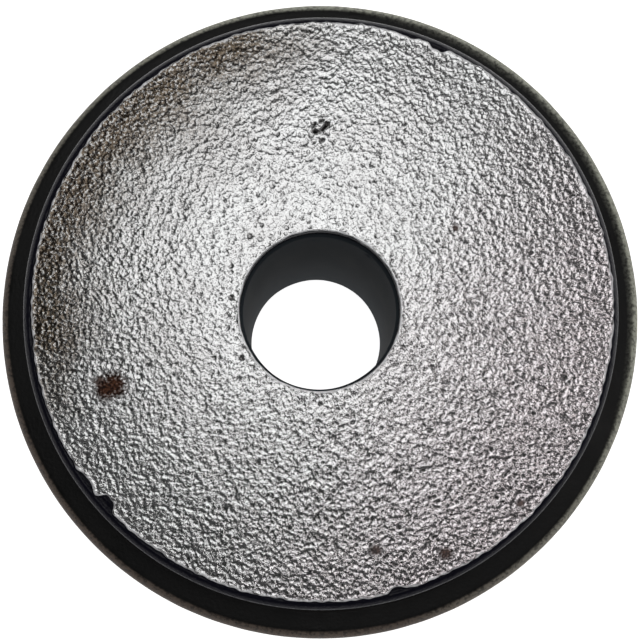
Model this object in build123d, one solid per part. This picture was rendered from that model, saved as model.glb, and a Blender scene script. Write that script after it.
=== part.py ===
from build123d import *

import os

# Fishing magnet: a stack of two ferrite rings between two steel plates, with a
# steel pole tube through the middle and a plastic sleeve for the rope.
# Millimetres. The origin is the centre of the underside, which is the holding
# face; +Z runs along the bore, up to the face of the yoke plate.

# Ferrite rings, a standard pressed size, and the adhesive films between layers.
RING_RADIUS = 60.0
RING_HOLE_RADIUS = 30.0
RING_THICKNESS = 10.0
RING_CROWN_RADIUS = 2.0
RING_JOINT_RADIUS = 0.8
FILM_THICKNESS = 0.2
FILM_INSET = 1.2

# Steel plates. The upper one is the yoke, the lower one is the outer pole.
PLATE_RADIUS = 53.7
PLATE_THICKNESS = 6.5
PLATE_EDGE_RADIUS = 1.4
SEAL_LEG = 1.2

# Pole tube, pressed into a seat on the underside of the yoke plate.
POLE_RADIUS = 25.0
POLE_SEAT_DEPTH = 2.5
POLE_CHAMFER = 0.6

# Working gap between the two poles, closed by a brass ring and filled with resin.
GAP_WIDTH = 2.0
GAP_RING_RECESS = 0.4

# Sleeve in the bore, and the mouth of the yoke plate that holds it down.
BORE_RADIUS = 13.9
SLEEVE_WALL = 1.05
SLEEVE_CLEARANCE = 0.05
SLEEVE_RIM_RADIUS = 0.5
FLANGE_RADIUS = 18.0
FLANGE_THICKNESS = 1.2
FLANGE_RECESS = 0.2
FLANGE_CLEARANCE = 0.1
MOUTH_RADIUS = 14.4
MOUTH_DEPTH = 1.8
MOUTH_EDGE_RADIUS = 0.3

# Heights of the layers, from the holding face up.
LOWER_PLATE_TOP = PLATE_THICKNESS
LOWER_RING_BOTTOM = LOWER_PLATE_TOP + FILM_THICKNESS
LOWER_RING_TOP = LOWER_RING_BOTTOM + RING_THICKNESS
UPPER_RING_BOTTOM = LOWER_RING_TOP + FILM_THICKNESS
UPPER_RING_TOP = UPPER_RING_BOTTOM + RING_THICKNESS
YOKE_BOTTOM = UPPER_RING_TOP + FILM_THICKNESS
YOKE_TOP = YOKE_BOTTOM + PLATE_THICKNESS

POLE_BORE_RADIUS = BORE_RADIUS + SLEEVE_WALL + SLEEVE_CLEARANCE
POLE_TOP = YOKE_BOTTOM + POLE_SEAT_DEPTH
GAP_OUTER_RADIUS = POLE_RADIUS + GAP_WIDTH
SLEEVE_TOP = YOKE_TOP - MOUTH_DEPTH


def tube(outer_radius, inner_radius, bottom, top):
    """A plain ring on the Z axis between two heights."""
    height = top - bottom
    base = (Align.CENTER, Align.CENTER, Align.MIN)
    ring = Cylinder(outer_radius, height, align=base) - Cylinder(inner_radius, height, align=base)
    return Pos(0, 0, bottom) * ring


def circles(solid, radius, height):
    """The circular edges of a solid that have this radius and lie at this height."""
    return solid.edges().filter_by(GeomType.CIRCLE).filter_by(
        lambda edge: abs(edge.radius - radius) < 1e-4 and abs(edge.arc_center.Z - height) < 1e-4
    )


def yoke_plate():
    """Forged disc with a rounded rim, a seat for the pole and a lipped mouth."""
    plate = tube(PLATE_RADIUS, MOUTH_RADIUS, YOKE_BOTTOM, YOKE_TOP)
    plate -= tube(POLE_BORE_RADIUS, 1.0, YOKE_BOTTOM, SLEEVE_TOP)
    plate -= tube(POLE_RADIUS, 1.0, YOKE_BOTTOM, POLE_TOP)
    plate = fillet(circles(plate, PLATE_RADIUS, YOKE_TOP), PLATE_EDGE_RADIUS)
    return fillet(circles(plate, MOUTH_RADIUS, YOKE_TOP), MOUTH_EDGE_RADIUS)


def lower_pole_plate():
    """Flat steel washer: the outer pole of the holding face."""
    plate = tube(PLATE_RADIUS, GAP_OUTER_RADIUS, 0.0, LOWER_PLATE_TOP)
    plate = fillet(circles(plate, PLATE_RADIUS, 0.0), PLATE_EDGE_RADIUS)
    return chamfer(circles(plate, GAP_OUTER_RADIUS, 0.0), POLE_CHAMFER)


def pole_tube():
    """Thick-walled steel tube, with a shallow seat for the sleeve's flange at its foot."""
    pole = tube(POLE_RADIUS, POLE_BORE_RADIUS, 0.0, POLE_TOP)
    seat_radius = FLANGE_RADIUS + FLANGE_CLEARANCE
    pole -= tube(seat_radius, 1.0, 0.0, FLANGE_RECESS + FLANGE_THICKNESS)
    return chamfer(circles(pole, POLE_RADIUS, 0.0), POLE_CHAMFER)


def ferrite_ring(bottom, top, lower_edge_radius, upper_edge_radius):
    """Pressed and sintered ring with both outer edges rounded."""
    ring = tube(RING_RADIUS, RING_HOLE_RADIUS, bottom, top)
    ring = fillet(circles(ring, RING_RADIUS, bottom), lower_edge_radius)
    return fillet(circles(ring, RING_RADIUS, top), upper_edge_radius)


def adhesive_film(outer_radius, bottom):
    """Cured glue line between two layers of the stack."""
    return tube(outer_radius, RING_HOLE_RADIUS, bottom, bottom + FILM_THICKNESS)


def edge_seal(height, direction):
    """Bead of glue in the corner between a plate's side and the wider ferrite ring."""
    corner = (PLATE_RADIUS, height)
    foot = (PLATE_RADIUS + SEAL_LEG, height)
    crest = (PLATE_RADIUS, height + direction * SEAL_LEG)
    section = make_face(Polyline(corner, foot, crest, close=True))
    return revolve(Plane.XZ * section, axis=Axis.Z)


def gap_ring():
    """Brass ring that centres the lower plate on the pole and closes the gap."""
    return tube(GAP_OUTER_RADIUS, POLE_RADIUS, GAP_RING_RECESS + POLE_CHAMFER, LOWER_PLATE_TOP)


def gap_potting():
    """Cast resin between the pole and the ferrite rings."""
    return tube(RING_HOLE_RADIUS, POLE_RADIUS, LOWER_PLATE_TOP, YOKE_BOTTOM)


def bore_sleeve():
    """Moulded sleeve with a flange at its foot, pushed in from below against the mouth."""
    flange_bottom = FLANGE_RECESS
    wall_outer_radius = BORE_RADIUS + SLEEVE_WALL
    sleeve = tube(wall_outer_radius, BORE_RADIUS, flange_bottom, SLEEVE_TOP)
    sleeve += tube(FLANGE_RADIUS, BORE_RADIUS, flange_bottom, flange_bottom + FLANGE_THICKNESS)
    for height in (flange_bottom, SLEEVE_TOP):
        sleeve = fillet(circles(sleeve, BORE_RADIUS, height), SLEEVE_RIM_RADIUS)
    return sleeve


pieces = {
    "yoke_plate": yoke_plate(),
    "pole_tube": pole_tube(),
    "bore_sleeve": bore_sleeve(),
    "ferrite_ring_upper": ferrite_ring(
        UPPER_RING_BOTTOM, UPPER_RING_TOP, RING_JOINT_RADIUS, RING_CROWN_RADIUS
    ),
    "ferrite_ring_lower": ferrite_ring(
        LOWER_RING_BOTTOM, LOWER_RING_TOP, RING_CROWN_RADIUS, RING_JOINT_RADIUS
    ),
    "adhesive_film_upper": adhesive_film(PLATE_RADIUS, UPPER_RING_TOP),
    "adhesive_film_middle": adhesive_film(RING_RADIUS - FILM_INSET, LOWER_RING_TOP),
    "adhesive_film_lower": adhesive_film(PLATE_RADIUS, LOWER_PLATE_TOP),
    "lower_pole_plate": lower_pole_plate(),
    "gap_ring": gap_ring(),
    "gap_potting": gap_potting(),
    "edge_seal_upper": edge_seal(UPPER_RING_TOP, 1),
    "edge_seal_lower": edge_seal(LOWER_RING_BOTTOM, -1),
}

os.makedirs("parts", exist_ok=True)
for name, piece in pieces.items():
    piece.label = name
    export_step(piece, f"parts/{name}.step")
    print(f"{name}: {piece.volume / 1000:.2f} cm3")
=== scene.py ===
import math

import bpy
import numpy as np
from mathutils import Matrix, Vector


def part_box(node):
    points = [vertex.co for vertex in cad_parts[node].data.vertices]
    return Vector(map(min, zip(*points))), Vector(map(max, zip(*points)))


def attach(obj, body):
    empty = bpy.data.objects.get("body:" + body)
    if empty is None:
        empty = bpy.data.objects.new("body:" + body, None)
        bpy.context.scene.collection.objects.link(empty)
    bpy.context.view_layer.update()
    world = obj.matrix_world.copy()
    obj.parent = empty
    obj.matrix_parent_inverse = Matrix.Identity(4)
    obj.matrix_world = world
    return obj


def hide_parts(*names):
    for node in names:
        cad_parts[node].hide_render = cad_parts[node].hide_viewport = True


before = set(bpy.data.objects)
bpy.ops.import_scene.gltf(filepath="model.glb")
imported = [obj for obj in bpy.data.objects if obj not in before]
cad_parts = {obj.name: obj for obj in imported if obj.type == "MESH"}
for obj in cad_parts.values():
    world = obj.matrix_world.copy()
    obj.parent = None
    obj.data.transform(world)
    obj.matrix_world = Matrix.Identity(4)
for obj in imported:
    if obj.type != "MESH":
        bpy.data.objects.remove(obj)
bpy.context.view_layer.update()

# --- Yoke plate -------------------------------------------------------------
# A forged steel disc that carries the flux from the pole tube out to the ferrite. Its face is
# left as it came from the hammer and the tumbling drum, rough and bright; its rim, side and
# underside are dipped in black enamel, which is rubbed away up to the edge of the face.
MM = 0.001


def linear(colour):
    """An sRGB hex colour as the linear RGBA that shader sockets take."""
    channels = [int(colour[i : i + 2], 16) / 255 for i in (1, 3, 5)]
    return [*(c / 12.92 if c <= 0.04045 else ((c + 0.055) / 1.055) ** 2.4 for c in channels), 1.0]


def node(tree, kind, inputs=None, **settings):
    """Adds one shader node; each input is a value, or the output socket that feeds it."""
    made = tree.nodes.new("ShaderNode" + kind)
    for name, value in settings.items():
        setattr(made, name, value)
    for socket, value in (inputs or {}).items():
        if isinstance(value, bpy.types.NodeSocket):
            tree.links.new(value, made.inputs[socket])
        else:
            made.inputs[socket].default_value = value
    return made


def finish_coat(name, **sockets):
    """A new material with one principled shader, whose named sockets are set here."""
    material = bpy.data.materials.new(name)
    material.use_nodes = True
    shader = material.node_tree.nodes["Principled BSDF"]
    for socket, value in sockets.items():
        shader.inputs[socket.replace("_", " ")].default_value = value
    return material, material.node_tree, shader


def straight(start, end, step):
    """Profile points (radius, height, spacing) from start up to, but not including, end."""
    count = max(1, round(math.dist(start, end) / step))
    along = np.arange(count)[:, None] / count
    points = np.array(start) * (1 - along) + np.array(end) * along
    return [(r, z, step) for r, z in points]


def bend(centre, radius, first, last, step):
    """Profile points along an arc, from the first angle up to, but not including, the last."""
    r, z = centre
    count = max(2, round(abs(math.radians(last - first)) * radius / step))
    angles = np.radians(np.linspace(first, last, count, endpoint=False))
    return [(r + radius * math.cos(a), z + radius * math.sin(a), step) for a in angles]


def spun(name, profile, shape):
    """A closed mesh spun about Z from a profile that runs clockwise round its section.

    Each ring of points is as fine as the profile's spacing there, and shape(x, y, z) returns the
    points moved to the real, uneven surface.
    """
    fewest = 48
    counts = [max(fewest, round(2 * math.pi * r / spacing)) for r, z, spacing in profile]
    starts = np.concatenate([[0], np.cumsum(counts)])
    x, y, z = (np.empty(starts[-1]) for axis in range(3))
    for (r, height, spacing), count, start in zip(profile, counts, starts):
        angle = np.arange(count) * 2 * math.pi / count
        x[start : start + count] = r * np.cos(angle)
        y[start : start + count] = r * np.sin(angle)
        z[start : start + count] = height

    # Each side of a ring makes one triangle with the point beside it on the other ring, so two
    # rings with different counts close like a zip.
    faces = []
    for ring, count in enumerate(counts):
        following = (ring + 1) % len(counts)
        other = counts[following]
        inner, outer = np.arange(count), np.arange(other)
        beside_inner = ((inner + 1) * other - 1) // count
        beside_outer = ((outer + 1) * count) // other
        a, b = starts[ring], starts[following]
        faces += [
            np.stack([a + inner, b + beside_inner % other, a + (inner + 1) % count], 1),
            np.stack([a + beside_outer % count, b + outer, b + (outer + 1) % other], 1),
        ]
    points = np.stack(shape(x, y, z), 1)
    triangles = np.concatenate(faces)
    mesh = bpy.data.meshes.new(name)
    mesh.vertices.add(len(points))
    mesh.vertices.foreach_set("co", points.ravel())
    mesh.loops.add(triangles.size)
    mesh.loops.foreach_set("vertex_index", triangles.ravel())
    mesh.polygons.add(len(triangles))
    mesh.polygons.foreach_set("loop_start", np.arange(0, triangles.size, 3))
    mesh.update(calc_edges=True)
    mesh.shade_smooth()
    mesh.set_sharp_from_angle(angle=math.radians(60))
    piece = bpy.data.objects.new(name, mesh)
    bpy.context.scene.collection.objects.link(piece)
    return piece


def surface_points(piece):
    """The x, y and z of every point of a piece."""
    points = np.empty(len(piece.data.vertices) * 3)
    piece.data.vertices.foreach_get("co", points)
    return points.reshape(-1, 3).T


def mark(piece, name, values):
    """Keeps one number at each point of a piece, for its material to read."""
    piece.data.attributes.new(name, "FLOAT", "POINT").data.foreach_set("value", values)


def soft_step(value, low, high):
    """0 below low, 1 above high, and a smooth rise between them."""
    t = np.clip((value - low) / (high - low), 0, 1)
    return t * t * (3 - 2 * t)


def bumps(x, y, spacing, seed, lowest):
    """Height of one round bump in each cell of a jittered grid, each between lowest and 1."""
    cells = 256
    bump_width = 0.32
    table = np.random.default_rng(seed).random((cells, cells, 3))
    column, row = np.floor(x / spacing).astype(int), np.floor(y / spacing).astype(int)
    spread = 2 * bump_width**2
    height = np.zeros_like(x)
    for i in (-1, 0, 1):
        for j in (-1, 0, 1):
            cell = table[(column + i) % cells, (row + j) % cells]
            across = x / spacing - column - i - cell[:, 0]
            along = y / spacing - row - j - cell[:, 1]
            peak = lowest + (1 - lowest) * cell[:, 2]
            height += peak * np.exp(-(across**2 + along**2) / spread)
    return height


def ripple(angle, waves, seed):
    """A closed wavy line round the axis, about -1 to 1, from waves of the given counts."""
    phases = np.random.default_rng(seed).uniform(0, 2 * math.pi, len(waves))
    return sum(np.sin(angle * n + phase) for n, phase in zip(waves, phases)) / math.sqrt(len(waves))


yoke_low, yoke_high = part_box("yoke_plate")
YOKE_RADIUS = yoke_high.x
YOKE_TOP = yoke_high.z
YOKE_BOTTOM = yoke_low.z
POLE_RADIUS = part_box("pole_tube")[1].x
POLE_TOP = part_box("pole_tube")[1].z
SLEEVE_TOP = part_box("bore_sleeve")[1].z
YOKE_EDGE = 1.4 * MM
MOUTH_RADIUS = 14.4 * MM
MOUTH_EDGE = 0.3 * MM
SLEEVE_HOLE = 15.0 * MM
FACE_STEP = 0.2 * MM
RIM_STEP = 0.3 * MM
HIDDEN_STEP = 3.0 * MM

# The hammer sinks the face a little, so that its highest ridges only just reach the top of the
# blank. It leaves dimples about a millimetre across, smaller pits between them, and slow swells.
FACE_DROP = 0.19 * MM
FACE_HEIGHT = YOKE_TOP - FACE_DROP
DIMPLE_WIDTH = 0.95 * MM
DIMPLE_DEPTH = 0.055 * MM
PIT_WIDTH = 0.5 * MM
PIT_DEPTH = 0.09 * MM
SWELL_WIDTH = 9.0 * MM
SWELL_HEIGHT = 0.03 * MM
BURR_WIDTH = 0.2 * MM
BURR_HEIGHT = 0.05 * MM

# The bright face ends a little inside the rim and slightly off centre, where the enamel laps
# over it. Chips in it are (degrees round, depth inwards, half width in degrees).
BRIGHT_RADIUS = 52.25 * MM
BRIGHT_CENTRE = (0.25 * MM, 0.14 * MM)
BRIGHT_MOUTH = 14.5 * MM
ENAMEL_LAP = 0.05 * MM
RIM_WANDER = 0.12 * MM
RIM_WAVES = (7, 13, 29, 43, 71, 113, 157)
MOUTH_WANDER = 0.04 * MM
MOUTH_WAVES = (5, 9, 17, 23, 31)
CHIP_DEPTH = 0.3 * MM
CHIP_GRAIN = 0.12 * MM
RIM_CHIPS = (
    (66, 0.9 * MM, 1.7),
    (72, 0.4 * MM, 1.6),
    (222, 1.6 * MM, 1.9),
    (216, 0.7 * MM, 2.2),
    (285, 0.8 * MM, 1.6),
)

# A hooked gouge, cut in four strokes, a nick below it, and three small round pits by the
# mouth: (x, y, half length, half width, degrees, depth).
GOUGES = (
    (-0.5 * MM, 32.5 * MM, 1.2 * MM, 0.5 * MM, 4, 0.42 * MM),
    (1.1 * MM, 33.6 * MM, 1.5 * MM, 0.5 * MM, 55, 0.5 * MM),
    (-1.0 * MM, 33.5 * MM, 0.9 * MM, 0.35 * MM, 62, 0.3 * MM),
    (0.4 * MM, 34.4 * MM, 0.8 * MM, 0.3 * MM, 20, 0.25 * MM),
    (0.4 * MM, 30.9 * MM, 0.6 * MM, 0.4 * MM, 50, 0.36 * MM),
    (-12.6 * MM, 13.5 * MM, 0.6 * MM, 0.6 * MM, 0, 0.22 * MM),
    (-14.0 * MM, -8.6 * MM, 0.6 * MM, 0.6 * MM, 0, 0.22 * MM),
    (-15.9 * MM, 2.4 * MM, 0.55 * MM, 0.55 * MM, 0, 0.2 * MM),
)


def bright_inset(x, y):
    """How far a point lies inside the bright face's outline; negative on the enamel."""
    off_x, off_y = x - BRIGHT_CENTRE[0], y - BRIGHT_CENTRE[1]
    angle = np.arctan2(off_y, off_x)
    outline = BRIGHT_RADIUS - ENAMEL_LAP + RIM_WANDER * ripple(angle, RIM_WAVES, seed=3)
    for degrees, depth, half_width in RIM_CHIPS:
        away = np.degrees(np.angle(np.exp(1j * (angle - math.radians(degrees)))))
        outline -= depth * np.exp(-((away / half_width) ** 4))
    mouth = BRIGHT_MOUTH + MOUTH_WANDER * ripple(angle, MOUTH_WAVES, seed=4)
    return np.minimum(outline - np.hypot(off_x, off_y), np.hypot(x, y) - mouth)


def hammered(x, y, z):
    """The struck face: dimples with ridges between them, a burr, chips and gouges."""
    inset = bright_inset(x, y)
    radius = np.hypot(x, y)
    on_top = soft_step(z, YOKE_TOP - 1.0 * MM, YOKE_TOP - 0.2 * MM)
    dimples = bumps(x, y, DIMPLE_WIDTH, seed=11, lowest=-0.2) - 0.3
    pits = bumps(x, y, PIT_WIDTH, seed=12, lowest=-0.4) - 0.25
    swells = bumps(x, y, SWELL_WIDTH, seed=13, lowest=-1.0)

    # One side of the face was struck harder than the other.
    struck = 0.95 + 0.75 * soft_step(x - y, -10 * MM, 50 * MM)
    relief = SWELL_HEIGHT * swells - struck * (DIMPLE_DEPTH * dimples + PIT_DEPTH * pits)

    # The relief is lower under the enamel, and the drum has turned the edge up into a burr.
    relief *= 0.25 + 0.75 * soft_step(inset, -0.1 * MM, 0.4 * MM)
    relief += BURR_HEIGHT * np.exp(-(((inset - 0.15 * MM) / BURR_WIDTH) ** 2))

    # A chip is the enamelled ground inside the bright radius, but not that of the mouth.
    in_chip = soft_step(-inset, 0, 0.4 * MM) * soft_step(BRIGHT_RADIUS - radius, 0, 0.3 * MM)
    in_chip *= radius > 30 * MM
    relief -= in_chip * (CHIP_GRAIN * pits + CHIP_DEPTH)
    for centre_x, centre_y, half_length, half_width, degrees, depth in GOUGES:
        turn = math.radians(degrees)
        along = (x - centre_x) * math.cos(turn) + (y - centre_y) * math.sin(turn)
        across = (y - centre_y) * math.cos(turn) - (x - centre_x) * math.sin(turn)
        reach = np.hypot(along / half_length, across / half_width)
        relief -= depth * (1 - soft_step(reach, 0.2, 1.1)) * (0.8 + 0.8 * pits)
    return x, y, z + on_top * (relief - FACE_DROP)


yoke_plate = spun(
    "forged_yoke_plate",
    straight((MOUTH_RADIUS + MOUTH_EDGE, YOKE_TOP), (YOKE_RADIUS - YOKE_EDGE, YOKE_TOP), FACE_STEP)
    + bend((YOKE_RADIUS - YOKE_EDGE, YOKE_TOP - YOKE_EDGE), YOKE_EDGE, 90, 0, FACE_STEP)
    + straight((YOKE_RADIUS, YOKE_TOP - YOKE_EDGE), (YOKE_RADIUS, YOKE_BOTTOM), RIM_STEP)
    + straight((YOKE_RADIUS, YOKE_BOTTOM), (POLE_RADIUS, YOKE_BOTTOM), HIDDEN_STEP)
    + straight((POLE_RADIUS, YOKE_BOTTOM), (POLE_RADIUS, POLE_TOP), HIDDEN_STEP)
    + straight((POLE_RADIUS, POLE_TOP), (SLEEVE_HOLE, POLE_TOP), HIDDEN_STEP)
    + straight((SLEEVE_HOLE, POLE_TOP), (SLEEVE_HOLE, SLEEVE_TOP), HIDDEN_STEP)
    + straight((SLEEVE_HOLE, SLEEVE_TOP), (MOUTH_RADIUS, SLEEVE_TOP), RIM_STEP)
    + straight((MOUTH_RADIUS, SLEEVE_TOP), (MOUTH_RADIUS, YOKE_TOP - MOUTH_EDGE), RIM_STEP)
    + bend((MOUTH_RADIUS + MOUTH_EDGE, YOKE_TOP - MOUTH_EDGE), MOUTH_EDGE, 180, 90, 0.1 * MM),
    hammered,
)

# How far each point is inside the bright outline, in millimetres, for the edge of the enamel, and how high
# it stands, from about 0 in a dimple to 1 on a ridge, for the scale and painted shade in the dimples.
x, y, z = surface_points(yoke_plate)
inset = bright_inset(x, y) / MM
inset[z < YOKE_TOP - YOKE_EDGE] = -1.0
mark(yoke_plate, "bright_inset", inset)
mark(yoke_plate, "standing", (z - FACE_HEIGHT) / (0.3 * MM) + 0.5)

# Forged mild steel, tumbled bright: a hard grey metal with a sharp glint on every ridge, and dull grey
# scale in the dimples that is also painted shade. The dipped enamel beside it is black and half glossy.
# The drum's grit scratches are about 0.1 mm across, and are drawn at 0.4 mm so that they show.
forged_steel, tree, shader = finish_coat("forged_steel_tumbled_bright", Specular_IOR_Level=0.16)
place = node(tree, "TexCoord").outputs["Object"]
height = node(tree, "Attribute", attribute_name="standing").outputs["Fac"]
edge = node(tree, "Attribute", attribute_name="bright_inset").outputs["Fac"]
grit = node(
    tree, "TexNoise", {"Vector": place, "Scale": 1 / (0.4 * MM), "Detail": 2.0, "Roughness": 0.5}
).outputs["Fac"]
cloud = node(
    tree, "TexNoise", {"Vector": place, "Scale": 1 / (14 * MM), "Detail": 3.0, "Roughness": 0.6}
).outputs["Fac"]
bare = node(tree, "MapRange", {"Value": edge, "From Min": -0.05, "From Max": 0.05}).outputs["Result"]
steel = node(
    tree, "MixRGB", {"Fac": cloud, "Color1": linear("#d0d2d2"), "Color2": linear("#b7b5b5")}
).outputs["Color"]

# The side away from the die cooled slowly and has a faint rose tint. The side that lay against it, the
# upper left, kept a brown bloom of forging scale, held in the scratches and thickest towards the rim; the
# same darkening is painted shade, for the lower light on that side and at the rim.
# DIE_SIDE points towards the die, and rises by its length, 18, over a metre.
DIE_SIDE = (-15.6, 9.0, 0.0)
die_side = node(
    tree, "VectorMath", {0: place, 1: DIE_SIDE}, operation="DOT_PRODUCT"
).outputs["Value"]
rose = node(
    tree, "MapRange", {"Value": die_side, "From Min": -0.1, "From Max": -0.75}
).outputs["Result"]
steel = node(
    tree, "MixRGB", {"Fac": rose, "Color1": steel, "Color2": linear("#ccc6c8")}
).outputs["Color"]
blotchy = node(
    tree, "Math", {0: cloud, 1: 1.1, 2: die_side}, operation="MULTIPLY_ADD"
).outputs["Value"]
scale_bloom_and_shade = node(
    tree, "MapRange", {"Value": blotchy, "From Min": 0.9, "From Max": 1.35, "To Max": 0.95}
).outputs["Result"]
in_scratch = node(
    tree, "MapRange", {"Value": grit, "From Min": 0.64, "From Max": 0.49, "To Min": 0.25}
).outputs["Result"]
scale_bloom_and_shade = node(tree, "Math", {0: scale_bloom_and_shade, 1: in_scratch}, operation="MULTIPLY").outputs["Value"]
from_axis = node(
    tree, "VectorMath", {0: place, 1: (0.0, 0.0, FACE_HEIGHT)}, operation="DISTANCE"
).outputs["Value"]
near_rim = node(
    tree, "MapRange", {"Value": from_axis, "From Min": 36 * MM, "From Max": 48 * MM, "To Min": 0.25}
).outputs["Result"]
scale_bloom_and_shade = node(tree, "Math", {0: scale_bloom_and_shade, 1: near_rim}, operation="MULTIPLY").outputs["Value"]
# Painted shade as well as scale: this darkens the upper left of the face towards the rim.
steel = node(
    tree, "MixRGB", {"Fac": scale_bloom_and_shade, "Color1": steel, "Color2": linear("#554836")}
).outputs["Color"]

# Grey scale lies in the dimples and the pinholes, and the gouges and deepest pits are nearly black; this
# darkening is also painted shade, for the shade that falls in these hollows.
dimple_scale_and_shade = node(
    tree, "MapRange", {"Value": height, "From Min": 0.45, "From Max": -0.1, "To Max": 0.85}
).outputs["Result"]
pinhole_scale_and_shade = node(
    tree, "MapRange", {"Value": grit, "From Min": 0.46, "From Max": 0.3, "To Max": 0.75}
).outputs["Result"]
scale_and_shade = node(tree, "Math", {0: dimple_scale_and_shade, 1: pinhole_scale_and_shade}, operation="MAXIMUM").outputs["Value"]
steel = node(
    tree, "MixRGB", {"Fac": scale_and_shade, "Color1": steel, "Color2": linear("#403d3b")}
).outputs["Color"]
deep_hollow_shade = node(tree, "MapRange", {"Value": height, "From Min": -0.1, "From Max": -0.6}).outputs["Result"]
steel = node(
    tree, "MixRGB", {"Fac": deep_hollow_shade, "Color1": steel, "Color2": linear("#1d1b1a")}
).outputs["Color"]

# The burr along the enamel is rubbed to a duller line, in nibbles 1.6 mm long, and painted pale there as a
# highlight for the light the burr catches.
nibble = node(
    tree, "TexNoise", {"Vector": place, "Scale": 1 / (1.6 * MM), "Detail": 3.0, "Roughness": 0.65}
).outputs["Fac"]
uneven_edge = node(
    tree, "Math", {0: nibble, 1: 1.6, 2: edge}, operation="MULTIPLY_ADD"
).outputs["Value"]
rubbed_edge_and_highlight = node(
    tree, "MapRange", {"Value": uneven_edge, "From Min": 1.12, "From Max": 0.85, "To Max": 0.9}
).outputs["Result"]
steel = node(
    tree, "MixRGB", {"Fac": rubbed_edge_and_highlight, "Color1": steel, "Color2": linear("#e8e8ea")}
).outputs["Color"]
steel_roughness = node(
    tree,
    "MapRange",
    {"Value": grit, "From Min": 0.3, "From Max": 0.7, "To Min": 0.11, "To Max": 0.24},
).outputs["Result"]
steel_roughness = node(
    tree, "MapRange", {"Value": rubbed_edge_and_highlight, "To Min": steel_roughness, "To Max": 0.42}
).outputs["Result"]

# Rust has started where the face was knocked or stayed wet: (x, y, radius, strength).
RUST_SPOTS = (
    (-36.9 * MM, -13.3 * MM, 2.0 * MM, 1.0),
    (-38.3 * MM, -14.0 * MM, 1.7 * MM, 1.0),
    (-39.4 * MM, -12.8 * MM, 1.1 * MM, 0.9),
    (24.4 * MM, 14.9 * MM, 0.6 * MM, 0.85),
    (10.0 * MM, -42.9 * MM, 0.9 * MM, 0.85),
    (22.4 * MM, -43.4 * MM, 1.0 * MM, 0.9),
    (35.7 * MM, -34.5 * MM, 0.7 * MM, 0.8),
)
rust = 0.0
for spot_x, spot_y, radius, strength in RUST_SPOTS:
    away = node(
        tree, "VectorMath", {0: place, 1: (spot_x, spot_y, FACE_HEIGHT)}, operation="DISTANCE"
    ).outputs["Value"]
    ragged = node(
        tree, "Math", {0: grit, 1: 3.0 * radius, 2: away}, operation="MULTIPLY_ADD"
    ).outputs["Value"]
    reach = {"From Min": 2.9 * radius, "From Max": 2.3 * radius, "To Max": strength}
    spot = node(tree, "MapRange", {"Value": ragged, **reach}).outputs["Result"]
    rust = node(tree, "Math", {0: rust, 1: spot}, operation="MAXIMUM").outputs["Value"]
crust = node(tree, "MapRange", {"Value": grit, "From Min": 0.62, "From Max": 0.4}).outputs["Result"]
rust_colour = node(
    tree, "MixRGB", {"Fac": crust, "Color1": linear("#5f3c2a"), "Color2": linear("#1e100c")}
).outputs["Color"]
steel = node(
    tree, "MixRGB", {"Fac": rust, "Color1": steel, "Color2": rust_colour}
).outputs["Color"]
steel_roughness = node(
    tree, "MapRange", {"Value": rust, "To Min": steel_roughness, "To Max": 0.8}
).outputs["Result"]

# Rust and enamel aren't metallic, and the rubbed burr is only partly so, which keeps its painted highlight
# pale from every side.
unrusted = node(tree, "MapRange", {"Value": rust, "To Min": 1.0, "To Max": 0.0}).outputs["Result"]
edge_line_metal = node(tree, "MapRange", {"Value": rubbed_edge_and_highlight, "To Min": 1.0, "To Max": 0.4}).outputs["Result"]
metal = node(tree, "Math", {0: bare, 1: unrusted}, operation="MULTIPLY").outputs["Value"]
metal = node(tree, "Math", {0: metal, 1: edge_line_metal}, operation="MULTIPLY").outputs["Value"]
colour = node(tree, "MixRGB", {"Fac": bare, "Color1": linear("#0d0d18"), "Color2": steel})
roughness = node(tree, "MapRange", {"Value": bare, "To Min": 0.26, "To Max": steel_roughness})
skin = node(tree, "Bump", {"Height": grit, "Strength": 1.0, "Distance": 0.07 * MM})
tree.links.new(colour.outputs["Color"], shader.inputs["Base Color"])
tree.links.new(metal, shader.inputs["Metallic"])
tree.links.new(roughness.outputs["Result"], shader.inputs["Roughness"])
tree.links.new(skin.outputs["Normal"], shader.inputs["Normal"])
yoke_plate.data.materials.append(forged_steel)
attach(yoke_plate, "root")
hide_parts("yoke_plate")

# --- Ferrite rings ------------------------------------------------------------
# Two rings of strontium ferrite, pressed, sintered and ground flat, then painted black. They
# are brittle, so their corners are nibbled by small chips, and the paint is worn off the crown
# of each outer edge, where the dull bare ferrite shows.
RING_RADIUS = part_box("ferrite_ring_upper")[1].x
RING_HOLE_RADIUS = 30.0 * MM
RING_CROWN = 2.0 * MM
RING_JOINT = 0.8 * MM
RING_STEP = 0.5 * MM
RING_UNEVEN = 0.04 * MM
COVERED_RADIUS = 53.0 * MM
CHIPS_EACH = 9
CHIP_BALL = 3.2 * MM
CHIP_AWAY = 0.7 * CHIP_BALL
BACK_SIDE = (7.0, 8.0, 0.0)

# Paint over sintered ferrite: sooty black with a patchy low gloss. Where it is worn, the ferrite is matt,
# with specks of paint left in it: brown grey at the front, and a paler greenish grey towards the back
# right, which is painted light for the side that is lit more. Ferrite grain is far too fine to see, so it
# is drawn at 0.6 mm.
painted_ferrite, tree, shader = finish_coat(
    "ferrite_sintered_painted_black", IOR=1.5, Specular_IOR_Level=0.2
)
place = node(tree, "TexCoord").outputs["Object"]
worn = node(tree, "Attribute", attribute_name="worn").outputs["Fac"]
grain = node(
    tree, "TexNoise", {"Vector": place, "Scale": 1 / (0.6 * MM), "Detail": 5.0, "Roughness": 0.6}
).outputs["Fac"]
patch = node(
    tree, "TexNoise", {"Vector": place, "Scale": 1 / (9 * MM), "Detail": 4.0, "Roughness": 0.6}
).outputs["Fac"]
toward_back = node(
    tree, "VectorMath", {0: place, 1: BACK_SIDE}, operation="DOT_PRODUCT"
).outputs["Value"]
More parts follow.
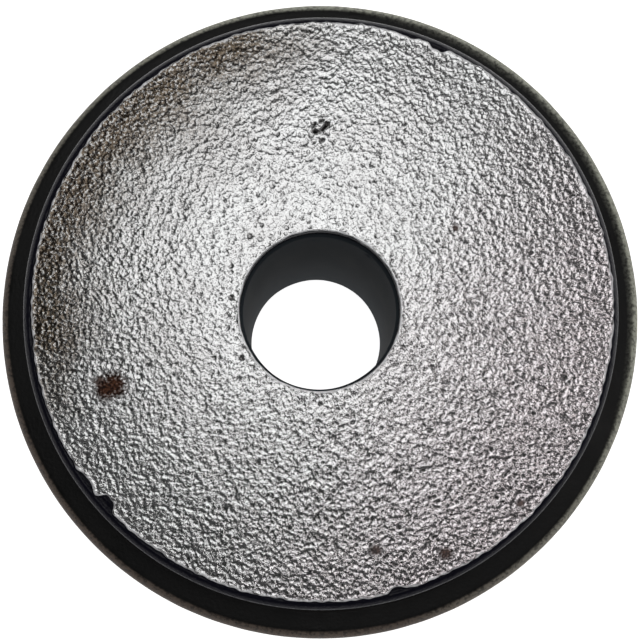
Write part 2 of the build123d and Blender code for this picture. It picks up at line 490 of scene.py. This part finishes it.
# Painted light: bare ferrite turns paler towards the back right, the side that is lit more.
painted_back_light = node(
    tree, "MapRange", {"Value": toward_back, "From Min": -0.35, "From Max": 0.35}
).outputs["Result"]
ragged = node(tree, "Math", {0: patch, 1: -0.1}, operation="ADD").outputs["Value"]
ragged = node(
    tree, "Math", {0: grain, 1: 1.2, 2: ragged}, operation="MULTIPLY_ADD"
).outputs["Value"]
ragged = node(tree, "Math", {0: ragged, 1: worn}, operation="MULTIPLY").outputs["Value"]
fade = node(tree, "MapRange", {"Value": painted_back_light, "To Min": 0.4, "To Max": 0.55}).outputs["Result"]
bare = node(
    tree, "MapRange", {"Value": ragged, "From Min": 0.05, "From Max": fade}
).outputs["Result"]
specks = node(
    tree, "MapRange", {"Value": grain, "From Min": 0.38, "From Max": 0.55, "To Min": 0.35}
).outputs["Result"]
bare = node(tree, "Math", {0: bare, 1: specks}, operation="MULTIPLY").outputs["Value"]
ferrite_grey = node(
    tree, "MixRGB", {"Fac": painted_back_light, "Color1": linear("#5c5149"), "Color2": linear("#a6a799")}
).outputs["Color"]
paint = node(
    tree, "MixRGB", {"Fac": grain, "Color1": linear("#060607"), "Color2": linear("#141413")}
).outputs["Color"]
colour = node(tree, "MixRGB", {"Fac": bare, "Color1": paint, "Color2": ferrite_grey})
paint_roughness = node(
    tree,
    "MapRange",
    {"Value": patch, "From Min": 0.35, "From Max": 0.65, "To Min": 0.28, "To Max": 0.46},
).outputs["Result"]
roughness = node(tree, "MapRange", {"Value": bare, "To Min": paint_roughness, "To Max": 0.7})
skin = node(tree, "Bump", {"Height": grain, "Strength": 0.6, "Distance": 0.08 * MM})
tree.links.new(colour.outputs["Color"], shader.inputs["Base Color"])
tree.links.new(roughness.outputs["Result"], shader.inputs["Roughness"])
tree.links.new(skin.outputs["Normal"], shader.inputs["Normal"])


def scooped(points, centre, radius):
    """Points inside a ball are pushed out onto it, which leaves a shell-shaped chip."""
    offset = points - centre
    away = np.linalg.norm(offset, axis=1, keepdims=True)
    return np.where(away < radius, centre + offset / np.maximum(away, 1e-9) * radius, points)


for node_name, crown_on_top, seed in (("ferrite_ring_lower", False, 21), ("ferrite_ring_upper", True, 22)):
    low, high = (corner.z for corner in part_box(node_name))
    top_round, low_round = (RING_CROWN, RING_JOINT) if crown_on_top else (RING_JOINT, RING_CROWN)
    random = np.random.default_rng(seed)
    chips = [
        (random.uniform(0, 2 * math.pi), random.choice((low, high)), random.uniform(0.5, 1.3) * MM)
        for chip in range(CHIPS_EACH)
    ]

    def sintered(x, y, z):
        """A slightly uneven side, and chips along both outer corners."""
        angle = np.arctan2(y, x)
        side = soft_step(np.hypot(x, y), RING_RADIUS - RING_CROWN, RING_RADIUS)
        uneven = bumps(angle * RING_RADIUS, z, 4.0 * MM, seed, lowest=-1.0)
        shrink = 1 - side * RING_UNEVEN * (1 + uneven) / RING_RADIUS
        points = np.stack([x * shrink, y * shrink, z], 1)
        for chip_angle, corner_height, depth in chips:
            outward = 1.0 if corner_height == high else -1.0
            centre = (
                (RING_RADIUS + CHIP_AWAY) * math.cos(chip_angle),
                (RING_RADIUS + CHIP_AWAY) * math.sin(chip_angle),
                corner_height + outward * CHIP_AWAY,
            )
            points = scooped(points, np.array(centre), CHIP_BALL + depth)
        return points.T

    ring = spun(
        node_name.replace("ring", "block"),
        straight((RING_HOLE_RADIUS, high), (COVERED_RADIUS, high), HIDDEN_STEP)
        + straight((COVERED_RADIUS, high), (RING_RADIUS - top_round, high), RING_STEP)
        + bend((RING_RADIUS - top_round, high - top_round), top_round, 90, 0, RING_STEP / 2)
        + straight((RING_RADIUS, high - top_round), (RING_RADIUS, low + low_round), RING_STEP)
        + bend((RING_RADIUS - low_round, low + low_round), low_round, 0, -90, RING_STEP / 2)
        + straight((RING_RADIUS - low_round, low), (COVERED_RADIUS, low), RING_STEP)
        + straight((COVERED_RADIUS, low), (RING_HOLE_RADIUS, low), HIDDEN_STEP)
        + straight((RING_HOLE_RADIUS, low), (RING_HOLE_RADIUS, high), HIDDEN_STEP),
        sintered,
    )

    # Wear peaks on the crown: slope is the angle round it, 0 where the flat meets it and 90 where the side
    # does. Towards the back right, the flat beside it is marked partly worn as well, so it is paler there.
    x, y, z = surface_points(ring)
    crown_height = high - RING_CROWN if crown_on_top else low + RING_CROWN
    crown_way = 1 if crown_on_top else -1
    past_flat = np.hypot(x, y) - RING_RADIUS + RING_CROWN
    slope = np.degrees(np.arctan2(past_flat, crown_way * (z - crown_height)))
    paler_back_flat = 0.15 * soft_step(slope, -30, 0) * soft_step(x + 0.6 * y, 30 * MM, 60 * MM)
    worn = (paler_back_flat + (1 - paler_back_flat) * soft_step(slope, 0, 40)) * (1 - soft_step(slope, 45, 118))
    mark(ring, "worn", worn)
    ring.data.materials.append(painted_ferrite)
    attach(ring, "root")
    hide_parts(node_name)

# --- Pole tube and lower pole plate ---------------------------------------------
# Mild steel, ground flat on the holding face so that no air is left under a load. The grinding
# lines all run one way. The plate's side has the same black enamel as the yoke plate.
PLATE_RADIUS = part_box("lower_pole_plate")[1].x
PLATE_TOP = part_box("lower_pole_plate")[1].z
GAP_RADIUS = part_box("gap_ring")[1].x
POLE_CHAMFER = 0.6 * MM
PLATE_UNEVEN = 0.05 * MM

# Surface-ground mild steel: a flat grey metal with a streaky shine across the grinding lines and
# a few dull stains. Real lines are about 0.03 mm apart, and are drawn at 0.18 mm.
ground_steel, tree, shader = finish_coat("mild_steel_surface_ground")
place = node(tree, "TexCoord").outputs["Object"]
facing = node(tree, "SeparateXYZ", {"Vector": node(tree, "NewGeometry").outputs["Normal"]}).outputs["Z"]
drawn_out = node(tree, "Mapping", {"Vector": place, "Scale": (1 / (25 * MM), 1 / (0.18 * MM), 1.0)})
lines = node(
    tree, "TexNoise", {"Vector": drawn_out.outputs["Vector"], "Scale": 1.0, "Detail": 3.0}
).outputs["Fac"]
stain = node(
    tree, "TexNoise", {"Vector": place, "Scale": 1 / (11 * MM), "Detail": 4.0, "Roughness": 0.65}
).outputs["Fac"]
ground = node(tree, "MapRange", {"Value": facing, "From Min": -0.8, "From Max": -0.9}).outputs["Result"]
bright = node(
    tree, "MixRGB", {"Fac": stain, "Color1": linear("#bdbbb8"), "Color2": linear("#8f8a85")}
).outputs["Color"]
colour = node(tree, "MixRGB", {"Fac": ground, "Color1": linear("#131318"), "Color2": bright})
shine = node(tree, "MapRange", {"Value": lines, "To Min": 0.22, "To Max": 0.42})
roughness = node(tree, "MapRange", {"Value": ground, "To Min": 0.34, "To Max": shine.outputs["Result"]})
skin = node(tree, "Bump", {"Height": lines, "Strength": 0.4, "Distance": 0.02 * MM})
tree.links.new(colour.outputs["Color"], shader.inputs["Base Color"])
tree.links.new(ground, shader.inputs["Metallic"])
tree.links.new(roughness.outputs["Result"], shader.inputs["Roughness"])
tree.links.new(skin.outputs["Normal"], shader.inputs["Normal"])


def punched(x, y, z):
    """The side of a punched disc: faintly wavy, as the press tore and the enamel pooled."""
    angle = np.arctan2(y, x)
    side = soft_step(np.hypot(x, y), PLATE_RADIUS - YOKE_EDGE, PLATE_RADIUS)
    waves = bumps(angle * PLATE_RADIUS, z * 0.4, 2.4 * MM, seed=31, lowest=-1.0)
    shrink = 1 - side * PLATE_UNEVEN * (1 + waves) / PLATE_RADIUS
    return x * shrink, y * shrink, z


lower_plate = spun(
    "punched_pole_plate",
    straight((GAP_RADIUS, PLATE_TOP), (PLATE_RADIUS, PLATE_TOP), HIDDEN_STEP)
    + straight((PLATE_RADIUS, PLATE_TOP), (PLATE_RADIUS, YOKE_EDGE), RING_STEP)
    + bend((PLATE_RADIUS - YOKE_EDGE, YOKE_EDGE), YOKE_EDGE, 0, -90, RING_STEP / 2)
    + straight((PLATE_RADIUS - YOKE_EDGE, 0.0), (GAP_RADIUS + POLE_CHAMFER, 0.0), 2 * RING_STEP)
    + straight((GAP_RADIUS + POLE_CHAMFER, 0.0), (GAP_RADIUS, POLE_CHAMFER), RING_STEP)
    + straight((GAP_RADIUS, POLE_CHAMFER), (GAP_RADIUS, PLATE_TOP), HIDDEN_STEP),
    punched,
)
lower_plate.data.materials.append(ground_steel)
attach(lower_plate, "root")
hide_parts("lower_pole_plate")
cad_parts["pole_tube"].data.materials.clear()
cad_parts["pole_tube"].data.materials.append(ground_steel)

# --- Gap ring -------------------------------------------------------------------
# A turned brass ring, not magnetic, that centres the lower plate on the pole. It is pressed in,
# and the potting above it holds it there.

# Turned brass: a warm yellow metal, gone a little brown, with fine circles that catch the light
# all round it. The lathe tool moved out 0.12 mm at each turn.
turned_brass, tree, shader = finish_coat("brass_turned", Metallic=1.0, Roughness=0.32)
place = node(tree, "TexCoord").outputs["Object"]
flat = node(tree, "VectorMath", {0: place, 1: (1.0, 1.0, 0.0)}, operation="MULTIPLY").outputs["Vector"]
out = node(tree, "VectorMath", {0: flat}, operation="LENGTH").outputs["Value"]
feed = node(tree, "CombineXYZ", {"X": out}).outputs["Vector"]
cuts = node(
    tree, "TexNoise", {"Vector": feed, "Scale": 1 / (0.12 * MM), "Detail": 2.0}
).outputs["Fac"]
tarnish = node(
    tree, "TexNoise", {"Vector": place, "Scale": 1 / (5 * MM), "Detail": 3.0}
).outputs["Fac"]
colour = node(
    tree, "MixRGB", {"Fac": tarnish, "Color1": linear("#c9a758"), "Color2": linear("#84663a")}
)
skin = node(tree, "Bump", {"Height": cuts, "Strength": 0.5, "Distance": 0.02 * MM})
tree.links.new(colour.outputs["Color"], shader.inputs["Base Color"])
tree.links.new(skin.outputs["Normal"], shader.inputs["Normal"])
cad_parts["gap_ring"].data.materials.clear()
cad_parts["gap_ring"].data.materials.append(turned_brass)

# --- Adhesive films, potting and edge seals ---------------------------------------
# Black two-part epoxy throughout: rolled thin between the layers, cast into the gap round the
# pole, and squeezed out into an uneven bead along the foot of each plate.

# Cured epoxy: black and wet-looking, with the soft ripples that it set in.
epoxy, tree, shader = finish_coat("epoxy_black_cured", IOR=1.55, Roughness=0.22)
place = node(tree, "TexCoord").outputs["Object"]
flow = node(
    tree, "TexNoise", {"Vector": place, "Scale": 1 / (1.8 * MM), "Detail": 3.0}
).outputs["Fac"]
colour = node(
    tree, "MixRGB", {"Fac": flow, "Color1": linear("#0a090a"), "Color2": linear("#1c1917")}
)
skin = node(tree, "Bump", {"Height": flow, "Strength": 0.5, "Distance": 0.1 * MM})
tree.links.new(colour.outputs["Color"], shader.inputs["Base Color"])
tree.links.new(skin.outputs["Normal"], shader.inputs["Normal"])
for node_name in ("adhesive_film_upper", "adhesive_film_middle", "adhesive_film_lower", "gap_potting"):
    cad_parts[node_name].data.materials.clear()
    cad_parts[node_name].data.materials.append(epoxy)

BEAD_STEP = 0.2 * MM
BEAD_WAVES = (3, 7, 11, 19, 37, 53)
for node_name, upward, seed in (("edge_seal_upper", True, 41), ("edge_seal_lower", False, 42)):
    low, high = (corner.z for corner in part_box(node_name))
    foot_height = low if upward else high
    leg = high - low
    foot_radius = PLATE_RADIUS + leg

    def squeezed_out(x, y, z):
        """A bead that swells and thins as it goes round, but always fills its corner."""
        angle = np.arctan2(y, x)
        swell = 0.85 + 0.15 * ripple(angle, BEAD_WAVES, seed)
        radius = np.hypot(x, y)
        bulged = PLATE_RADIUS + (radius - PLATE_RADIUS) * swell
        return x * bulged / radius, y * bulged / radius, foot_height + (z - foot_height) * swell

    if upward:
        hollow = bend((foot_radius, high), leg, 180, 270, BEAD_STEP)
        back = straight((foot_radius, low), (PLATE_RADIUS, low), RING_STEP)
        back += straight((PLATE_RADIUS, low), (PLATE_RADIUS, high), RING_STEP)
    else:
        hollow = bend((foot_radius, low), leg, 90, 180, BEAD_STEP)
        back = straight((PLATE_RADIUS, low), (PLATE_RADIUS, high), RING_STEP)
        back += straight((PLATE_RADIUS, high), (foot_radius, high), RING_STEP)
    bead = spun(node_name.replace("edge_seal", "epoxy_bead"), hollow + back, squeezed_out)
    bead.data.materials.append(epoxy)
    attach(bead, "root")
    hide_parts(node_name)

# --- Bore sleeve ------------------------------------------------------------------
# A moulded nylon liner that keeps the rope off the steel. It is pushed in from the holding face
# until its flange seats, and its free end stops short of the struck face.
BORE_RADIUS = 13.9 * MM
SLEEVE_RIM = 0.5 * MM
SLEEVE_RADIUS = BORE_RADIUS + 1.05 * MM
FLANGE_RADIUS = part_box("bore_sleeve")[1].x
SLEEVE_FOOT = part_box("bore_sleeve")[0].z
FLANGE_TOP = SLEEVE_FOOT + 1.2 * MM
WALL_STEP = 0.4 * MM
SLEEVE_END_STEP = 0.2 * MM
RIM_ARC_STEP = 0.15 * MM
OUT_OF_ROUND = 0.03 * MM
NICK_DEPTH = 0.35 * MM
NICK_WIDTH = 0.45 * MM

# Moulded nylon: slate grey, scuffed matt, with faint draw marks from the core pin down its wall.
# Real draw marks are about 0.2 mm apart, and are drawn at 0.9 mm.
moulded_nylon, tree, shader = finish_coat("nylon_moulded_slate", IOR=1.53, Specular_IOR_Level=0.12)
place = node(tree, "TexCoord").outputs["Object"]
stretched = node(tree, "Mapping", {"Vector": place, "Scale": (1.0, 1.0, 0.06)}).outputs["Vector"]
draw = node(
    tree, "TexNoise", {"Vector": stretched, "Scale": 1 / (0.9 * MM), "Detail": 3.0}
).outputs["Fac"]
scuff = node(
    tree, "TexNoise", {"Vector": place, "Scale": 1 / (3.5 * MM), "Detail": 5.0, "Roughness": 0.65}
).outputs["Fac"]
colour = node(
    tree, "MixRGB", {"Fac": scuff, "Color1": linear("#22262a"), "Color2": linear("#2c3237")}
)
roughness = node(tree, "MapRange", {"Value": scuff, "To Min": 0.7, "To Max": 0.9})
skin = node(tree, "Bump", {"Height": draw, "Strength": 0.3, "Distance": 0.05 * MM})
tree.links.new(colour.outputs["Color"], shader.inputs["Base Color"])
tree.links.new(roughness.outputs["Result"], shader.inputs["Roughness"])
tree.links.new(skin.outputs["Normal"], shader.inputs["Normal"])


def moulded(x, y, z):
    """A wall that is faintly out of round, as nylon shrinks, with one nick near its rim."""
    angle = np.arctan2(y, x)
    inner = 1 - soft_step(np.hypot(x, y), BORE_RADIUS, SLEEVE_RADIUS)
    push = OUT_OF_ROUND * ripple(angle + 20 * z, (3, 5, 8), seed=51)
    away = np.hypot((angle - math.radians(50)) * BORE_RADIUS, z - (SLEEVE_TOP - 1.0 * MM))
    push += NICK_DEPTH * np.exp(-((away / NICK_WIDTH) ** 2))
    grow = 1 + inner * push / BORE_RADIUS
    return x * grow, y * grow, z


sleeve = spun(
    "moulded_bore_sleeve",
    straight((BORE_RADIUS + SLEEVE_RIM, SLEEVE_TOP), (SLEEVE_RADIUS, SLEEVE_TOP), SLEEVE_END_STEP)
    + straight((SLEEVE_RADIUS, SLEEVE_TOP), (SLEEVE_RADIUS, FLANGE_TOP), HIDDEN_STEP)
    + straight((SLEEVE_RADIUS, FLANGE_TOP), (FLANGE_RADIUS, FLANGE_TOP), WALL_STEP)
    + straight((FLANGE_RADIUS, FLANGE_TOP), (FLANGE_RADIUS, SLEEVE_FOOT), WALL_STEP)
    + straight((FLANGE_RADIUS, SLEEVE_FOOT), (BORE_RADIUS + SLEEVE_RIM, SLEEVE_FOOT), WALL_STEP)
    + bend((BORE_RADIUS + SLEEVE_RIM, SLEEVE_FOOT + SLEEVE_RIM), SLEEVE_RIM, 270, 180, RIM_ARC_STEP)
    + straight((BORE_RADIUS, SLEEVE_FOOT + SLEEVE_RIM), (BORE_RADIUS, SLEEVE_TOP - SLEEVE_RIM), WALL_STEP)
    + bend((BORE_RADIUS + SLEEVE_RIM, SLEEVE_TOP - SLEEVE_RIM), SLEEVE_RIM, 180, 90, RIM_ARC_STEP),
    moulded,
)
sleeve.data.materials.append(moulded_nylon)
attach(sleeve, "root")
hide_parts("bore_sleeve")

# --- Floor and lights ---------------------------------------------------------
# A white table that is lit from below, as used for small products. A softbox hangs overhead, a
# small lamp in front picks out glints, and a weak lamp on the right fills in. The room is pale
# round the horizon and dark above.
FLOOR_HALF = 3.0
floor_mesh = bpy.data.meshes.new("white_table")
corners = [(x * FLOOR_HALF, y * FLOOR_HALF, 0.0) for x, y in ((-1, -1), (1, -1), (1, 1), (-1, 1))]
floor_mesh.from_pydata(corners, [], [(0, 1, 2, 3)])
floor = bpy.data.objects.new("white_table", floor_mesh)
bpy.context.scene.collection.objects.link(floor)

# Opal acrylic over lamps: an even white glow with no shadow on it.
lit_table, tree, shader = finish_coat("opal_acrylic_lit", Roughness=0.6, Emission_Strength=1.0)
shader.inputs["Base Color"].default_value = linear("#f2f2f0")
shader.inputs["Emission Color"].default_value = linear("#ffffff")
floor_mesh.materials.append(lit_table)

# (name, direction from the face, distance, width, length, watts, colour)
LAMPS = (
    ("overhead_softbox", (0.00, 0.28, 0.96), 0.60, 0.32, 0.30, 0.53, "#ffffff"),
    ("front_lamp", (0.05, -0.16, 0.98), 0.70, 0.07, 0.07, 0.09, "#fffdfd"),
    ("right_fill", (0.45, 0.02, 0.89), 0.70, 0.12, 0.16, 0.13, "#fffbfa"),
)
for name, direction, distance, width, length, watts, colour in LAMPS:
    lamp = bpy.data.lights.new(name, "AREA")
    lamp.shape = "RECTANGLE"
    lamp.size = width
    lamp.size_y = length
    lamp.energy = watts
    lamp.color = linear(colour)[:3]
    stand = bpy.data.objects.new(name, lamp)
    aim = np.array(direction) / np.linalg.norm(direction)
    stand.location = aim * distance
    stand.rotation_mode = "QUATERNION"
    stand.rotation_quaternion = stand.location.to_track_quat("Z", "Y")
    bpy.context.scene.collection.objects.link(stand)

# The walls fade from white to nearly black as they rise, and a window behind on the right adds
# a low glow.
WINDOW_SIDE = (0.64, 0.64, -0.42)
world = bpy.data.worlds.new("pale_horizon")
bpy.context.scene.world = world
world.use_nodes = True
sky = world.node_tree
around = node(sky, "TexCoord").outputs["Generated"]
rise = node(sky, "SeparateXYZ", {"Vector": around}).outputs["Z"]
walls = node(
    sky, "MapRange", {"Value": rise, "From Min": 0.25, "From Max": 0.6, "To Min": 1.0, "To Max": 0.07}
).outputs["Result"]
toward_window = node(
    sky, "VectorMath", {0: around, 1: WINDOW_SIDE}, operation="DOT_PRODUCT"
).outputs["Value"]
window = node(
    sky, "MapRange", {"Value": toward_window, "From Min": 0.4, "From Max": 0.8, "To Max": 0.8}
).outputs["Result"]
glow = node(sky, "Math", {0: walls, 1: window}, operation="ADD").outputs["Value"]
sky.links.new(glow, sky.nodes["Background"].inputs["Color"])
sky.nodes["Background"].inputs["Strength"].default_value = 1.0
bpy.context.scene.view_settings.view_transform = "Standard"

# --- Camera -------------------------------------------------------------------
# Looks almost straight down on the face from a hand's length away, off towards the front, so
# that the rings behind the plate and the far wall of the bore show on one side.
camera_data = bpy.data.cameras.new("camera")
camera_data.sensor_width = 36.0
camera_data.lens = 48.25
camera_data.shift_x = 0.0524
camera_data.shift_y = 0.249
camera_data.dof.use_dof = False
camera = bpy.data.objects.new("camera", camera_data)
camera.location = (-4.3 * MM, -33.6 * MM, 186.6 * MM)
camera.rotation_euler = (math.radians(1.25), math.radians(0.66), 0.0)
bpy.context.scene.collection.objects.link(camera)
bpy.context.scene.camera = camera
